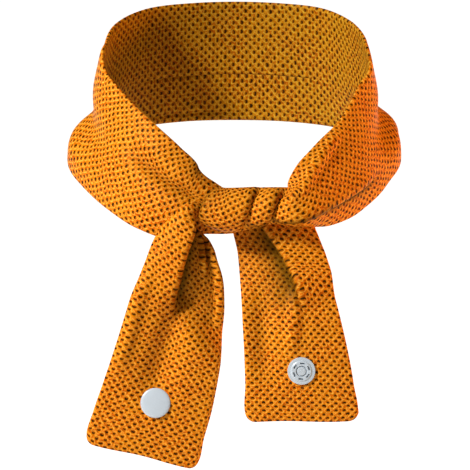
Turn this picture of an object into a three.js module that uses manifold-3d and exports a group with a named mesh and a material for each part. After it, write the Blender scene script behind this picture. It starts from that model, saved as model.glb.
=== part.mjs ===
// A cooling neck wrap: one long knitted strip tied in front of the neck with a half knot,
// its two tails hanging, with a snap button near the end of each tail.
// Millimetres, +Z up. The neck stands along Z through the origin, and the knot is at -Y.
import * as THREE from "three";
import { mergeVertices } from "three/addons/utils/BufferGeometryUtils.js";
import Module from "manifold-3d";

const wasm = await Module();
wasm.setup();

// The strip
const stripWidth = 61;
const clothWall = 2.6;

// The loop round the neck, measured to the middle line of the strip
const sideReach = 72;
const backReach = 64.5;
const frontReach = 74;
const knotDrop = 47;

// The knot
const rollRadius = 9;
const rollHalfLength = 22;

// The tails, from the middle of the knot to the hem
const leftTailLength = 120;
const rightTailLength = 103;

// The snaps. Each half is two plastic pieces pressed together through a small hole in the cloth.
const capDiameter = 14.5;
const capEdge = 0.8;
const capRise = 1.5;
const socketDiameter = 13.4;
const socketPlate = 1;
const socketBossDiameter = 10.4;
const socketBossRise = 0.5;
const socketRingDiameter = 5.3;
const socketKnobDiameter = 4.3;
const socketRingDepth = 0.6;
const socketBore = 0.5;
const slotCount = 6;
const slotLength = 2.2;
const slotWidth = 0.8;
const slotCircle = 7.6;
const slotTurn = 24;
const studDiameter = 11;
const studPlate = 1;
const studBossDiameter = 5.6;
const studBossRise = 2;
const postDiameter = 2.8;
const postGrip = 0.9;
const clearance = 0.3;
const edgeRound = 0.3;
const leftSnapInset = 27.5;
const leftSnapPlace = 0.5;
const rightSnapInset = 25.5;
const rightSnapPlace = 0.53;
const snapSides = 26;

// Mesh fineness
const acrossSteps = 13;
const stepsPerLoopRow = 3;
const stepsPerTailRow = 2;

const degrees = Math.PI / 180;
const up = new THREE.Vector3(0, 0, 1);
const knot = new THREE.Vector3(0, -frontReach, -knotDrop);

// The loop, from the right end of the roll round the back of the neck to the left side of the knot.
// side, depth and drop are shares of the reaches and the knot's drop. lean is how far the lower edge
// stands out, in degrees. span is the share of the strip's width that shows, and curl is how far the
// strip bends across its width, in degrees: outwards, or hollow where it is below 0.
const loopRows = [
  { side: 0.635, depth: -0.95, drop: 0.84, lean: 8, span: 0.71, curl: 110 },
  { side: 0.735, depth: -0.82, drop: 0.755, lean: 12, span: 0.745, curl: 75 },
  { side: 0.862, depth: -0.63, drop: 0.613, lean: 14, span: 0.765, curl: 45 },
  { side: 0.947, depth: -0.425, drop: 0.443, lean: 16, span: 0.81, curl: 20 },
  { side: 0.995, depth: -0.24, drop: 0.29, lean: 17, span: 0.85, curl: 4 },
  { side: 0.982, depth: -0.062, drop: 0.157, lean: 17, span: 0.88, curl: -12 },
  { side: 0.95, depth: 0.133, drop: 0.1, lean: 17, span: 0.93, curl: -16 },
  { side: 0.825, depth: 0.439, drop: 0.06, lean: 10, span: 0.98, curl: -14 },
  { side: 0.61, depth: 0.766, drop: 0.01, lean: 5.5, span: 1, curl: 0 },
  { side: 0.3, depth: 0.94, drop: 0, lean: 4, span: 1, curl: 2 },
  { side: 0, depth: 1, drop: 0, lean: 3, span: 1, curl: 5 },
  { side: -0.3, depth: 0.94, drop: 0, lean: 4, span: 1, curl: 2 },
  { side: -0.6, depth: 0.766, drop: 0.01, lean: 5, span: 1, curl: 0 },
  { side: -0.818, depth: 0.439, drop: 0.055, lean: 10, span: 0.98, curl: -14 },
  { side: -0.94, depth: 0.135, drop: 0.14, lean: 16, span: 0.95, curl: -12 },
  { side: -0.985, depth: -0.062, drop: 0.18, lean: 16, span: 0.92, curl: -4 },
  { side: -0.98, depth: -0.254, drop: 0.315, lean: 18, span: 0.87, curl: 0 },
  { side: -0.9, depth: -0.462, drop: 0.46, lean: 18.7, span: 0.84, curl: 20 },
  { side: -0.745, depth: -0.684, drop: 0.63, lean: 19.5, span: 0.81, curl: 40 },
  { side: -0.54, depth: -0.854, drop: 0.808, lean: 21, span: 0.76, curl: 60 },
  { side: -0.34, depth: -0.92, drop: 0.925, lean: 20, span: 0.72, curl: 80 },
  { side: -0.15, depth: -0.885, drop: 1.05, lean: 14, span: 0.46, curl: 105 },
  { side: -0.03, depth: -0.85, drop: 1.1, lean: 5, span: 0.34, curl: 60 },
  { side: 0.14, depth: -0.84, drop: 1.1, lean: 0, span: 0.25, curl: 30 },
];

// The roll over the front of the knot, from its left end, which turns back round the left side.
// side is a share of the roll's half length. forward, fall and round are shares of the roll's radius,
// from the middle of the knot.
const rollRows = [
  { side: -0.6, forward: -1.75, fall: 0.1, lean: 0, round: 0.66, curl: 300 },
  { side: -0.7, forward: -1.1, fall: 0.08, lean: 0, round: 0.78, curl: 310 },
  { side: -0.58, forward: -0.1, fall: 0.07, lean: 0, round: 0.92, curl: 320 },
  { side: -0.3, forward: 0.68, fall: 0.08, lean: 0, round: 1.02, curl: 325 },
  { side: 0.1, forward: 1.02, fall: 0.04, lean: 0, round: 1.06, curl: 325 },
  { side: 0.5, forward: 1.02, fall: -0.05, lean: 0, round: 1.02, curl: 320 },
  { side: 0.9, forward: 1, fall: -0.12, lean: 2, round: 0.97, curl: 300 },
  { side: 1.42, forward: 0.98, fall: -0.16, lean: 6, round: 1.1, curl: 220 },
];

// The tails, from inside the knot down to the hem. side is a share of the strip's width, forward a
// share of the roll's radius and drop a share of the tail's length. slant tilts the strip's width
// from level, in degrees, with the right end down.
const leftTailRows = [
  { side: -0.22, forward: -0.9, drop: -0.01, slant: 60, span: 0.18, curl: 120 },
  { side: -0.335, forward: 0.35, drop: 0.008, slant: 56, span: 0.22, curl: 140 },
  { side: -0.36, forward: 0.7, drop: 0.04, slant: 26, span: 0.32, curl: 130 },
  { side: -0.405, forward: 0.9, drop: 0.1, slant: 4, span: 0.47, curl: 100 },
  { side: -0.4, forward: 1.0, drop: 0.145, slant: 1, span: 0.57, curl: 80 },
  { side: -0.4, forward: 1.08, drop: 0.2, slant: 1, span: 0.635, curl: 64 },
  { side: -0.408, forward: 1.12, drop: 0.28, slant: 3, span: 0.715, curl: 48 },
  { side: -0.435, forward: 1.15, drop: 0.36, slant: 6, span: 0.77, curl: 36 },
  { side: -0.468, forward: 1.17, drop: 0.46, slant: 10, span: 0.815, curl: 28 },
  { side: -0.515, forward: 1.17, drop: 0.5625, slant: 12, span: 0.84, curl: 22 },
  { side: -0.567, forward: 1.17, drop: 0.667, slant: 13, span: 0.87, curl: 15 },
  { side: -0.622, forward: 1.16, drop: 0.77, slant: 13.5, span: 0.895, curl: 10 },
  { side: -0.683, forward: 1.14, drop: 0.87, slant: 14, span: 0.905, curl: 8 },
  { side: -0.736, forward: 1.12, drop: 0.975, slant: 14, span: 0.905, curl: 6 },
  { side: -0.748, forward: 1.11, drop: 1, slant: 14, span: 0.865, curl: 6 },
];
const rightTailRows = [
  { side: 0.2, forward: -1.35, drop: -0.04, slant: 0, span: 0.5, curl: 60 },
  { side: 0.25, forward: -1.25, drop: 0.05, slant: 0, span: 0.58, curl: 60 },
  { side: 0.3, forward: -0.9, drop: 0.14, slant: 0, span: 0.64, curl: 46 },
  { side: 0.345, forward: -0.45, drop: 0.215, slant: 0, span: 0.665, curl: 36 },
  { side: 0.38, forward: 0.0, drop: 0.3, slant: 0, span: 0.7, curl: 28 },
  { side: 0.415, forward: 0.4, drop: 0.4, slant: 0, span: 0.74, curl: 22 },
  { side: 0.45, forward: 0.7, drop: 0.53, slant: 0, span: 0.785, curl: 16 },
  { side: 0.483, forward: 0.9, drop: 0.67, slant: 0, span: 0.825, curl: 12 },
  { side: 0.51, forward: 1.0, drop: 0.82, slant: 0, span: 0.86, curl: 8 },
  { side: 0.527, forward: 1.0, drop: 0.975, slant: 0.5, span: 0.88, curl: 6 },
  { side: 0.528, forward: 1.0, drop: 1, slant: 0.5, span: 0.85, curl: 6 },
];

// Folds. Each runs straight from one place on the strip to another: start and end are shares of the
// run's length, from and to shares of the way across. width and depth are shares of the strip's
// width, and fade is the share of the fold in which it rises or dies away at each end.
// A ridge stands out, or is a groove where its depth is below 0. A ledge sets back all that lies
// beyond it, or lifts it where its depth is below 0.
const loopFolds = [
  { kind: "ridge", start: 0.06, end: 0.13, from: 0.78, to: 0.25, width: 0.09, depth: -0.025, fade: 0.3 },
  { kind: "ridge", start: 0.11, end: 0.17, from: 0.72, to: 0.2, width: 0.08, depth: -0.025, fade: 0.3 },
  { kind: "ridge", start: 0.11, end: 0.22, from: 0.3, to: 0.22, width: 0.08, depth: 0.03, fade: 0.35 },
  { kind: "ledge", start: 0.11, end: 0.28, from: 0.8, to: 0.76, width: 0.09, depth: 0.055, fade: 0.35 },
  { kind: "ridge", start: 0.24, end: 0.42, from: 0.5, to: 0.6, width: 0.15, depth: -0.06, fade: 0.35 },
  { kind: "ridge", start: 0.24, end: 0.42, from: 0.8, to: 0.84, width: 0.16, depth: 0.055, fade: 0.35 },
  { kind: "ridge", start: 0.65, end: 0.84, from: 0.6, to: 0.5, width: 0.15, depth: -0.06, fade: 0.35 },
  { kind: "ridge", start: 0.65, end: 0.84, from: 0.84, to: 0.8, width: 0.16, depth: 0.055, fade: 0.35 },
  { kind: "ridge", start: 0.86, end: 0.98, from: 0.42, to: 0.36, width: 0.12, depth: -0.06, fade: 0.35 },
];
const leftTailFolds = [
  { kind: "ledge", start: 0.07, end: 0.5, from: 0.76, to: 0.42, width: 0.08, depth: 0.07, fade: 0.3 },
  { kind: "ledge", start: 0.12, end: 0.5, from: 0.88, to: 0.88, width: 0.07, depth: -0.055, fade: 0.3 },
];
const rightTailFolds = [
  { kind: "ledge", start: -0.2, end: 0.66, from: 0.53, to: 0.58, width: 0.09, depth: -0.08, fade: 0.5 },
];

// A cubic through the rows that carries every column smoothly, by the distance between places.
function smoothRows(rows) {
  const columns = Object.keys(rows[0]);
  const place = (row) => new THREE.Vector3(row.x, row.y, row.z);
  const reach = [0];
  for (let i = 1; i < rows.length; i += 1) {
    reach.push(reach[i - 1] + place(rows[i]).distanceTo(place(rows[i - 1])));
  }
  const slope = (column, i) => {
    const before = Math.max(i - 1, 0);
    const after = Math.min(i + 1, rows.length - 1);
    if (before === i || after === i) {
      return (rows[after][column] - rows[before][column]) / (reach[after] - reach[before]);
    }
    const back = reach[i] - reach[before];
    const ahead = reach[after] - reach[i];
    const backSlope = (rows[i][column] - rows[before][column]) / back;
    const aheadSlope = (rows[after][column] - rows[i][column]) / ahead;
    return (backSlope * ahead + aheadSlope * back) / (back + ahead);
  };
  const at = (rowPlace) => {
    const i = Math.min(Math.floor(rowPlace), rows.length - 2);
    const t = rowPlace - i;
    const length = reach[i + 1] - reach[i];
    const row = {};
    for (const column of columns) {
      const a = rows[i][column];
      const b = rows[i + 1][column];
      const slopeA = slope(column, i) * length;
      const slopeB = slope(column, i + 1) * length;
      row[column] =
        a * (2 * t ** 3 - 3 * t ** 2 + 1) +
        slopeA * (t ** 3 - 2 * t ** 2 + t) +
        b * (3 * t ** 2 - 2 * t ** 3) +
        slopeB * (t ** 3 - t ** 2);
    }
    row.share = (reach[i] + length * t) / reach[rows.length - 1];
    return row;
  };
  return { at, length: reach[rows.length - 1] };
}

function smoothStep(low, high, value) {
  const t = Math.min(Math.max((value - low) / (high - low), 0), 1);
  return t * t * (3 - 2 * t);
}

// How far the folds of a run lift the cloth at one place, in millimetres.
function foldHeight(run, share, across) {
  const point = new THREE.Vector2(share * run.length, across * stripWidth);
  let height = 0;
  for (const fold of run.folds) {
    const corner = new THREE.Vector2(fold.start * run.length, fold.from * stripWidth);
    const line = new THREE.Vector2(fold.end * run.length, fold.to * stripWidth).sub(corner);
    const way = point.clone().sub(corner);
    const t = way.dot(line) / line.lengthSq();
    const beyond = line.cross(way) / line.length() / (fold.width * stripWidth);
    const strength = smoothStep(0, fold.fade, t) * (1 - smoothStep(1 - fold.fade, 1, t));
    const shape = fold.kind === "ledge" ? -smoothStep(-1, 1, beyond) : Math.exp(-beyond * beyond);
    height += strength * fold.depth * shape;
  }
  return height * stripWidth;
}

// The directions across and out of the strip where it goes round the neck.
function loopFrame(row, tangent) {
  const outward = new THREE.Vector3().crossVectors(tangent, up).normalize();
  const downward = new THREE.Vector3().crossVectors(tangent, outward);
  const lean = row.lean * degrees;
  return {
    across: downward.clone().multiplyScalar(Math.cos(lean)).addScaledVector(outward, Math.sin(lean)),
    out: outward.clone().multiplyScalar(Math.cos(lean)).addScaledVector(downward, -Math.sin(lean)),
  };
}

// The same where it hangs.
function tailFrame(row, tangent) {
  const slant = row.slant * degrees;
  const across = new THREE.Vector3(Math.cos(slant), 0, -Math.sin(slant));
  const out = new THREE.Vector3().crossVectors(tangent, across).normalize();
  return { across, out };
}

// The middle surface of a run at one place along its rows and across its width.
function clothPoint(run, rowPlace, across) {
  const row = run.at(rowPlace);
  const step = 0.02;
  const before = run.at(Math.max(rowPlace - step, 0));
  const after = run.at(Math.min(rowPlace + step, run.rowCount - 1));
  const tangent = new THREE.Vector3(after.x - before.x, after.y - before.y, after.z - before.z);
  const frame = run.frame(row, tangent.normalize());
  const width = row.span * stripWidth;
  const curl = row.curl * degrees;
  const angle = (across - 0.5) * curl;
  const flat = Math.abs(curl) < 1e-4;
  const sideways = flat ? (across - 0.5) * width : (width / curl) * Math.sin(angle);
  const inwards = flat ? 0 : (width / curl) * (1 - Math.cos(angle));
  const lift = foldHeight(run, row.share, across);
  return new THREE.Vector3(row.x, row.y, row.z)
    .addScaledVector(frame.across, sideways + lift * Math.sin(angle))
    .addScaledVector(frame.out, lift * Math.cos(angle) - inwards);
}

function clothNormal(run, rowPlace, across) {
  const rowStep = 0.03;
  const acrossStep = 0.02;
  const low = Math.max(rowPlace - rowStep, 0);
  const high = Math.min(rowPlace + rowStep, run.rowCount - 1);
  const along = clothPoint(run, high, across).sub(clothPoint(run, low, across));
  const left = Math.max(across - acrossStep, 0);
  const right = Math.min(across + acrossStep, 1);
  const over = clothPoint(run, rowPlace, right).sub(clothPoint(run, rowPlace, left));
  return over.cross(along).multiplyScalar(run.facing).normalize();
}

// A run as a closed wall: each section is a ring round the cloth, with a rounded edge at both sides.
function clothWallGeometry(run) {
  const sections = (run.rowCount - 1) * run.stepsPerRow + 1;
  const half = clothWall / 2;
  const positions = [];
  for (let i = 0; i < sections; i += 1) {
    const rowPlace = i / run.stepsPerRow;
    const front = [];
    const back = [];
    for (let j = 0; j <= acrossSteps; j += 1) {
      const across = j / acrossSteps;
      const point = clothPoint(run, rowPlace, across);
      const normal = clothNormal(run, rowPlace, across);
      front.push(point.clone().addScaledVector(normal, half));
      back.unshift(point.clone().addScaledVector(normal, -half));
    }
    const first = clothPoint(run, rowPlace, 0);
    const last = clothPoint(run, rowPlace, 1);
    const inFirst = clothPoint(run, rowPlace, 1 / acrossSteps);
    const inLast = clothPoint(run, rowPlace, 1 - 1 / acrossSteps);
    const lastEdge = last.clone().addScaledVector(last.clone().sub(inLast).normalize(), half);
    const firstEdge = first.clone().addScaledVector(first.clone().sub(inFirst).normalize(), half);
    for (const point of [...front, lastEdge, ...back, firstEdge]) {
      positions.push(point.x, point.y, point.z);
    }
  }
  const ring = 2 * (acrossSteps + 1) + 2;
  const faces = [];
  for (let i = 0; i < sections - 1; i += 1) {
    for (let j = 0; j < ring; j += 1) {
      const a = i * ring + j;
      const b = i * ring + ((j + 1) % ring);
      faces.push(a, a + ring, b, b, a + ring, b + ring);
    }
  }
  const closeEnd = (start, turned) => {
    const corner = (j) => start + ((j + ring) % ring);
    const add = (a, b, c) => (turned ? faces.push(a, c, b) : faces.push(a, b, c));
    const lastEdge = acrossSteps + 1;
    add(corner(-1), corner(0), corner(-2));
    for (let j = 0; j < acrossSteps; j += 1) {
      add(corner(j), corner(j + 1), corner(-2 - j));
      add(corner(j + 1), corner(-3 - j), corner(-2 - j));
    }
    add(corner(lastEdge - 1), corner(lastEdge), corner(lastEdge + 1));
  };
  closeEnd(0, false);
  closeEnd((sections - 1) * ring, true);
  const geometry = new THREE.BufferGeometry();
  geometry.setAttribute("position", new THREE.Float32BufferAttribute(positions, 3));
  geometry.setIndex(faces);
  return geometry;
}

function solidOf(geometry) {
  const plain = geometry.clone();
  plain.deleteAttribute("normal");
  plain.deleteAttribute("uv");
  const merged = mergeVertices(plain, 1e-4);
  const make = (triVerts) =>
    new wasm.Manifold(
      new wasm.Mesh({ numProp: 3, vertProperties: merged.attributes.position.array, triVerts }),
    );
  const triVerts = new Uint32Array(merged.index.array);
  const solid = make(triVerts);
  if (solid.volume() >= 0) {
    return solid;
  }
  for (let i = 0; i < triVerts.length; i += 3) {
    [triVerts[i + 1], triVerts[i + 2]] = [triVerts[i + 2], triVerts[i + 1]];
  }
  return make(triVerts);
}

function geometryOf(solid) {
  const mesh = solid.getMesh();
  const geometry = new THREE.BufferGeometry();
  geometry.setAttribute("position", new THREE.Float32BufferAttribute(mesh.vertProperties, 3));
  geometry.setIndex(new THREE.BufferAttribute(mesh.triVerts, 1));
  return geometry;
}

function makeRun(rows, folds, frame, stepsPerRow, facing) {
  const { at, length } = smoothRows(rows);
  return { at, length, rowCount: rows.length, folds, frame, stepsPerRow, facing };
}

function loopRun() {
  const rollPlaces = rollRows.map((row) => ({
    x: row.side * rollHalfLength,
    y: knot.y - row.forward * rollRadius,
    z: knot.z - row.fall * rollRadius,
    lean: row.lean,
    span: (row.round * rollRadius * row.curl * degrees) / stripWidth,
    curl: row.curl,
  }));
  const loopPlaces = loopRows.map((row) => ({
    x: row.side * sideReach,
    y: row.depth * (row.depth > 0 ? backReach : frontReach),
    z: -row.drop * knotDrop,
    lean: row.lean,
    span: row.span,
    curl: row.curl,
  }));
  return makeRun([...rollPlaces, ...loopPlaces], loopFolds, loopFrame, stepsPerLoopRow, 1);
}

function tailRun(rows, folds, length) {
  const places = rows.map((row) => ({
    x: row.side * stripWidth,
    y: knot.y - row.forward * rollRadius,
    z: knot.z - row.drop * length,
    slant: row.slant,
    span: row.span,
    curl: row.curl,
  }));
  return makeRun(places, folds, tailFrame, stepsPerTailRow, -1);
}

// Where a snap sits on a tail: its own Z points out of the front of the cloth.
function snapFrame(run, inset, across) {
  const share = 1 - inset / run.length;
  const halvings = 40;
  let low = 0;
  let high = run.rowCount - 1;
  for (let i = 0; i < halvings; i += 1) {
    const middle = (low + high) / 2;
    if (run.at(middle).share < share) {
      low = middle;
    } else {
      high = middle;
    }
  }
  const point = clothPoint(run, low, across);
  const out = clothNormal(run, low, across);
  const upward = up.clone().addScaledVector(out, -up.dot(out)).normalize();
  const sideways = new THREE.Vector3().crossVectors(upward, out);
  return new THREE.Matrix4().makeBasis(sideways, upward, out).setPosition(point);
}

// A turned solid about the snap's axis: rows of radius and height from the back of the axis
// round to its front.
function turned(...rows) {
  const profile = rows.map(([radius, height]) => new THREE.Vector2(radius, height));
  return solidOf(new THREE.LatheGeometry(profile, snapSides).rotateX(Math.PI / 2));
}

// A cap, domed in front, with the post that goes through the cloth behind it.
function capSolid(reach) {
  const seat = clothWall / 2 + clearance;
  const edge = capDiameter / 2;
  const post = postDiameter / 2;
  return turned(
    [0, -reach],
    [post, -reach],
    [post, seat],
    [edge - edgeRound, seat],
    [edge, seat + edgeRound],
    [edge, seat + capEdge - edgeRound],
    [edge - edgeRound, seat + capEdge],
    [edge * 0.6, seat + capEdge + 0.75 * (capRise - capEdge)],
    [edge * 0.25, seat + capRise],
    [0, seat + capRise],
  );
}

// A stud with a blind hole for the post, its boss towards the front.
function studSolid() {
  const seat = clothWall / 2 + clearance;
  const hole = postDiameter / 2 + clearance;
  const edge = studDiameter / 2;
  const boss = studBossDiameter / 2;
  const top = seat + studPlate + studBossRise;
  return turned(
    [0, seat + postGrip + clearance],
    [hole, seat + postGrip + clearance],
    [hole, seat],
    [edge, seat],
    [edge, seat + studPlate],
    [boss, seat + studPlate],
    [boss, top - edgeRound],
    [boss - edgeRound, top],
    [0, top],
  );
}

// A socket with a blind hole for the post: a ring groove round a knob, and slots round the ring.
function socketSolid() {
  const seat = clothWall / 2 + clearance;
  const hole = postDiameter / 2 + clearance;
  const edge = socketDiameter / 2;
  const boss = socketBossDiameter / 2;
  const knob = socketKnobDiameter / 2;
  const ring = socketRingDiameter / 2;
  const top = seat + socketPlate + socketBossRise;
  const slot = new THREE.BoxGeometry(slotWidth, slotLength, 4 * top);
  let solid = turned(
    [0, seat + socketBore],
    [hole, seat + socketBore],
    [hole, seat],
    [edge - edgeRound, seat],
    [edge, seat + edgeRound],
    [edge, seat + socketPlate - edgeRound],
    [edge - edgeRound, seat + socketPlate],
    [boss, seat + socketPlate],
    [boss - edgeRound, top],
    [ring, top],
    [ring, top - socketRingDepth],
    [knob, top - socketRingDepth],
    [knob, top],
    [0, top],
  );
  for (let i = 0; i < slotCount; i += 1) {
    const turn = (slotTurn + (360 * i) / slotCount) * degrees;
    const cutter = slot.clone().translate(slotCircle / 2, 0, 0).rotateZ(turn);
    solid = solid.subtract(solidOf(cutter));
  }
  return solid;
}

function named(name, geometry, material, frame) {
  const mesh = new THREE.Mesh(frame ? geometry.applyMatrix4(frame) : geometry, material);
  mesh.name = name;
  return mesh;
}

const loop = loopRun();
const leftTail = tailRun(leftTailRows, leftTailFolds, leftTailLength);
const rightTail = tailRun(rightTailRows, rightTailFolds, rightTailLength);
const leftSnap = snapFrame(leftTail, leftSnapInset, leftSnapPlace);
const rightSnap = snapFrame(rightTail, rightSnapInset, rightSnapPlace);
const behind = new THREE.Matrix4().makeRotationY(Math.PI);
const seatDepth = clothWall / 2 + clearance;

const whole = [loop, leftTail, rightTail]
  .map((run) => solidOf(clothWallGeometry(run)))
  .reduce((joined, solid) => joined.add(solid));
const strip = [leftSnap, rightSnap].reduce((cut, frame) => {
  const radius = postDiameter / 2 + clearance;
  const hole = new THREE.CylinderGeometry(radius, radius, 4 * clothWall, snapSides).rotateX(Math.PI / 2);
  return cut.subtract(solidOf(hole.applyMatrix4(frame)));
}, whole);

const cloth = new THREE.MeshStandardMaterial({ color: 0xf08a1c, roughness: 0.85, metalness: 0 });
const plastic = new THREE.MeshStandardMaterial({ color: 0xe6e9ef, roughness: 0.3, metalness: 0 });

const wrap = new THREE.Group();
wrap.add(
  named("neck_strip", geometryOf(strip), cloth),
  named("left_snap_cap", geometryOf(capSolid(seatDepth + postGrip)), plastic, leftSnap),
  named("left_snap_stud", geometryOf(studSolid()), plastic, leftSnap.clone().multiply(behind)),
  named("right_snap_socket", geometryOf(socketSolid()), plastic, rightSnap),
  named("right_snap_cap", geometryOf(capSolid(seatDepth)), plastic, rightSnap.clone().multiply(behind)),
);

export default wrap;
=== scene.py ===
"""Looks for a cooling neck wrap: a knitted strip tied in front with a half knot, and two plastic snaps.

Metres, +Z up. The neck stands along Z through the origin, and the knot is at -Y.
"""

import math

import bmesh
import bpy
import numpy as np
from mathutils import Matrix, Vector


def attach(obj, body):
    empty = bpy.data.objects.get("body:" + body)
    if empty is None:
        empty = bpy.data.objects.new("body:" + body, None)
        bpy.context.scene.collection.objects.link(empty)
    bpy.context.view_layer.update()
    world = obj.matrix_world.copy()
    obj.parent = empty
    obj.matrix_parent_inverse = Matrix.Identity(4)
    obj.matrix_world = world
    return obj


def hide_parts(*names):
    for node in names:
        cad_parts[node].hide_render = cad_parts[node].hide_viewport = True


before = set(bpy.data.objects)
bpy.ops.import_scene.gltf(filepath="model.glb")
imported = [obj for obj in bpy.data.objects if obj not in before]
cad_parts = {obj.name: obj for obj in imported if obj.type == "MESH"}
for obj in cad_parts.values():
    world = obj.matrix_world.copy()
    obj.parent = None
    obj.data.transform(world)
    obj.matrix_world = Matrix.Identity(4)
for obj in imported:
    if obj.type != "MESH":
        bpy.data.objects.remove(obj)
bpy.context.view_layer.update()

MM = 0.001

# The strip
STRIP_WIDTH = 61 * MM
CLOTH_WALL = 2.3 * MM

# The loop round the neck, measured to the middle line of the strip
SIDE_REACH = 72 * MM
BACK_REACH = 64.5 * MM
FRONT_REACH = 74 * MM
KNOT_DROP = 47 * MM

# The knot
ROLL_RADIUS = 9 * MM
ROLL_HALF_LENGTH = 22 * MM
KNOT = Vector((0, -FRONT_REACH, -KNOT_DROP))

# The tails, from the middle of the knot to the hem
LEFT_TAIL_LENGTH = 120 * MM
RIGHT_TAIL_LENGTH = 103 * MM

# The snaps
CAP_DIAMETER = 14.5 * MM
CAP_EDGE = 0.9 * MM
CAP_RISE = 1.6 * MM
CAP_ROUNDING = 0.35 * MM
SOCKET_DIAMETER = 13.4 * MM
SOCKET_PLATE = 1.1 * MM
SOCKET_BOSS_DIAMETER = 10.4 * MM
SOCKET_BOSS_RISE = 0.4 * MM
SOCKET_RING_DIAMETER = 5.3 * MM
SOCKET_KNOB_DIAMETER = 4.3 * MM
SOCKET_RING_DEPTH = 0.8 * MM
SOCKET_BOSS_SLOPE = 0.5 * MM
SOCKET_ROUNDING = 0.2 * MM
SLOT_COUNT = 6
SLOT_LENGTH = 2.2 * MM
SLOT_WIDTH = 0.8 * MM
SLOT_CIRCLE = 7.6 * MM
SLOT_DEPTH = 1.1 * MM
SLOT_TURN = math.radians(24)
STUD_DIAMETER = 11 * MM
STUD_PLATE = 1 * MM
STUD_BOSS_DIAMETER = 5.6 * MM
STUD_BOSS_RISE = 2 * MM
STUD_BOSS_FLARE = 1.08
STUD_BOSS_TIP = 0.8
STUD_BOSS_BEVEL = 0.6 * MM
STUD_ROUNDING = 0.3 * MM
LEFT_SNAP_INSET = 27.5 * MM
LEFT_SNAP_PLACE = 0.5
RIGHT_SNAP_INSET = 25.5 * MM
RIGHT_SNAP_PLACE = 0.53

# How high over the middle of the cloth a snap's underside sits
SEAT = CLOTH_WALL / 2 - 0.1 * MM

# Mesh fineness: sections are close together in the knot, and places across the strip where its
# sharp folds lie
KNOT_STEP = 0.75 * MM
KNOT_STRETCH = 72 * MM
SECTION_STEP = 1.9 * MM
FINE_ACROSS = 0.55 * MM
COARSE_ACROSS = 1.2 * MM
EDGE_STEPS = 5
SNAP_SIDES = 96
LOOP_SHARP = (0.56, 0.8)
LEFT_TAIL_SHARP = (0.42, 0.98)
RIGHT_TAIL_SHARP = (0.3, 0.68)

# The knit: holes on a staggered grid, measured on the strip where it is neither stretched nor gathered
KNIT_PITCH = 4.28 * MM
TAIL_PITCH_SHARE = 0.87

# The least share of its width that the knit is drawn together to. Beyond it, the strip is folded.
GATHERED_SPAN = 0.85

# How far the holes wander off the grid, as a share of the pitch
KNIT_WANDER = 0.45

# On the roll the knit is stretched and turned
ROLL_LENGTH = 38 * MM
ROLL_BLEND = 30 * MM
ROLL_STRETCH = 0.86
ROLL_TWIST = math.radians(-16)
ROLL_HOLES = 0.35

# The knit's colours
YARN_DARK = (0.44, 0.075, 0.0, 1)
YARN_BRIGHT = (0.8, 0.21, 0.001, 1)
YARN_CLOUD = (0.64, 0.2, 0.001, 1)
YARN_BETWEEN_HOLES = (0.8, 0.14, 0.001, 1)
# Painted shade on the yarn just round each hole
HOLE_EDGE_SHADE = (0.36, 0.08, 0.001, 1)
# Pale yarn of the net, and the painted highlight on the holes' rims
PALE_YARN_AND_HIGHLIGHT = (1.0, 0.48, 0.055, 1)
# Shade painted along the folds' creases
PAINTED_CREASE_SHADE = (0.09, 0.046, 0.001, 1)
# Painted shade that darkens and greens the inside of the loop
INNER_SIDE_SHADE = (0.58, 0.76, 0.6, 1)
# Painted shade in the holes, which are drawn dark and not cut through the cloth
HOLE_SHADE_DARK = (0.02, 0.008, 0.001, 1)
HOLE_SHADE_BROWN = (0.075, 0.025, 0.002, 1)
CLOTH_SHEEN = (1.0, 0.8, 0.45, 1)

# The snaps' colour
PLASTIC_WHITE = (0.49, 0.54, 0.59, 1)


def table(columns, *rows):
    """A table as one array for each named column."""
    return dict(zip(columns.split(), np.array(rows, float).T))


# The loop, from the right end of the roll round the back of the neck to the left side of the knot.
# side, depth and drop are shares of the reaches and the knot's drop. lean is how far the lower edge
# stands out, in degrees. span is the share of the strip's width that shows, and curl is how far the
# strip bends across its width, in degrees.
LOOP_ROWS = table(
    "side depth drop lean span curl",
    (0.635, -0.95, 0.85, 8, 0.73, 110),
    (0.735, -0.82, 0.765, 12, 0.765, 75),
    (0.862, -0.63, 0.62, 14, 0.775, 45),
    (0.947, -0.425, 0.443, 16, 0.81, 20),
    (0.995, -0.24, 0.29, 17, 0.85, 4),
    (0.982, -0.062, 0.157, 17, 0.88, -12),
    (0.95, 0.133, 0.1, 17, 0.93, -16),
    (0.825, 0.439, 0.06, 10, 0.98, -14),
    (0.61, 0.766, 0.01, 5.5, 1, 0),
    (0.3, 0.94, 0, 4, 1, 2),
    (0, 1, 0, 3, 1, 5),
    (-0.3, 0.94, 0, 4, 1, 2),
    (-0.6, 0.766, 0.01, 5, 1, 0),
    (-0.818, 0.439, 0.055, 10, 0.98, -14),
    (-0.94, 0.135, 0.14, 16, 0.95, -12),
    (-0.985, -0.062, 0.18, 16, 0.92, -4),
    (-0.98, -0.254, 0.315, 18, 0.87, 0),
    (-0.9, -0.462, 0.46, 18.7, 0.84, 20),
    (-0.745, -0.684, 0.63, 19.5, 0.81, 40),
    (-0.54, -0.854, 0.808, 21, 0.76, 60),
    (-0.34, -0.92, 0.94, 20, 0.67, 74),
    (-0.16, -0.9, 1.02, 14, 0.48, 98),
    (-0.03, -0.85, 1.1, 5, 0.34, 60),
    (0.14, -0.84, 1.1, 0, 0.25, 30),
)

# The roll over the front of the knot, from its left end, which is tucked in.
# side is a share of the roll's half length. forward, fall and round are shares of its radius.
ROLL_ROWS = table(
    "side forward fall lean round curl",
    (-0.74, 0.74, -0.3, 0, 0.88, 322),
    (-0.54, 0.87, -0.1, 0, 0.98, 325),
    (-0.3, 0.98, 0.04, 0, 1.05, 325),
    (0.1, 1.03, 0.03, 0, 1.05, 325),
    (0.5, 1.02, -0.05, 0, 1.02, 320),
    (0.9, 1, -0.12, 2, 0.97, 300),
    (1.42, 0.98, -0.16, 6, 1.1, 220),
)

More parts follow.
